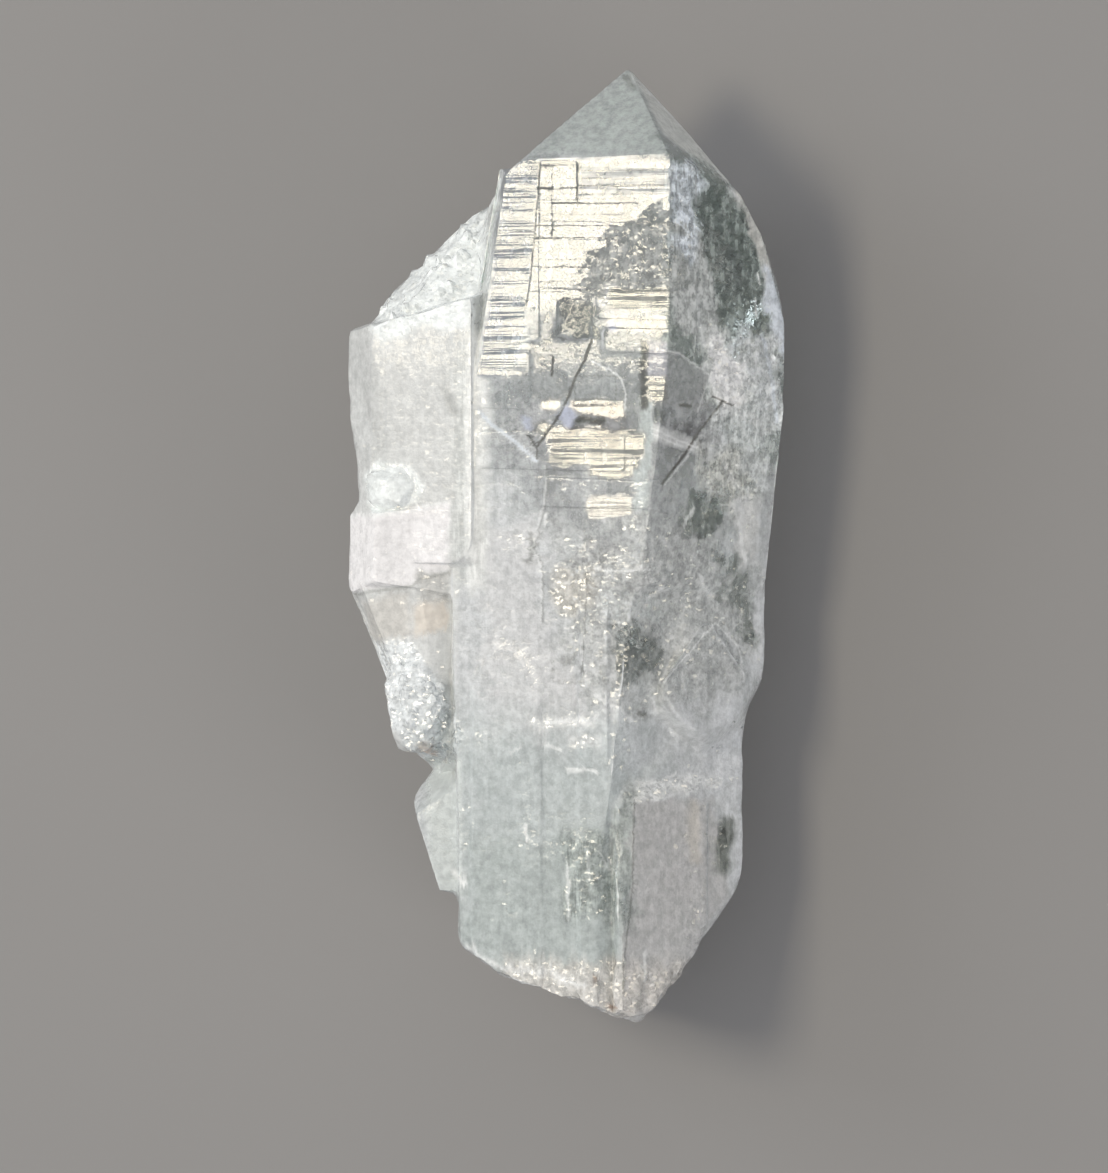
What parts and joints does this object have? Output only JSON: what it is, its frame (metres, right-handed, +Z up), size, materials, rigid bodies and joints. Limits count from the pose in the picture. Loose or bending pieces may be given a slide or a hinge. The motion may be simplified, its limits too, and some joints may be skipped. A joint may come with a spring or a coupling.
{
  "type": "quartz crystal",
  "caption": "Stout clear quartz point with stepped, striated prism faces, a milky intergrown side crystal and a patch of druzy sparkle, lying on a flat back face.",
  "frame": {"origin": "middle of the bounding box across and along, on the plane of the back face that the crystal rests on", "axes": "+Y along the c-axis towards the termination, +Z up out of the resting face through the front prism face, +X to the right with the termination pointing away; the milky side crystal is on the -X side"},
  "size_m": [0.0438, 0.0954, 0.0276],
  "materials": {
    "quartz": "gloss"
  },
  "bodies": {
    "root": {"quartz_crystal": "quartz"}
  },
  "joints": []
}
